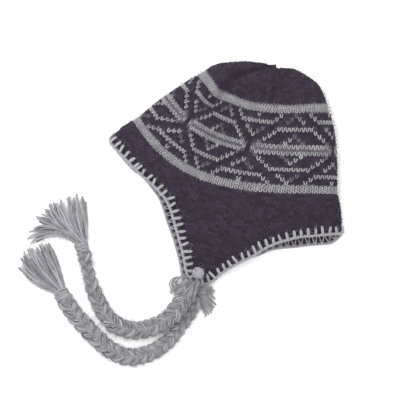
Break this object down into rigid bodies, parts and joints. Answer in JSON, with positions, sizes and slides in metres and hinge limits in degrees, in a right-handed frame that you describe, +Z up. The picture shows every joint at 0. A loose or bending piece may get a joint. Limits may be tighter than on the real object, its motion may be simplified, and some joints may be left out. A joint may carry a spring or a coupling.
{
  "type": "knitted earflap cap lying on its side",
  "caption": "Knitted wool cap with ear flaps, patterned band, light edging and plaited ties ending in tassels, lying on its side.",
  "frame": {"origin": "on the surface that the cap lies on, under the middle of the cap without its plaited ties", "axes": "+Z up from the surface, +Y towards the crown, +X towards the back edge of the cap"},
  "size_m": [0.3525, 0.3344, 0.052],
  "materials": {
    "dark_knit": "matt wool knit",
    "light_yarn": "matt wool yarn",
    "grey_yarn": "matt wool yarn",
    "braid_yarn": "plaited matt wool yarn"
  },
  "bodies": {
    "root": {"knitted_cap": "dark_knit", "rim_edging": "light_yarn", "flap_knot": "light_yarn", "braid_near": "braid_yarn", "braid_far": "braid_yarn", "binding_near": "braid_yarn", "binding_far": "braid_yarn", "tassel_near": "braid_yarn", "tassel_far": "braid_yarn"}
  },
  "joints": []
}
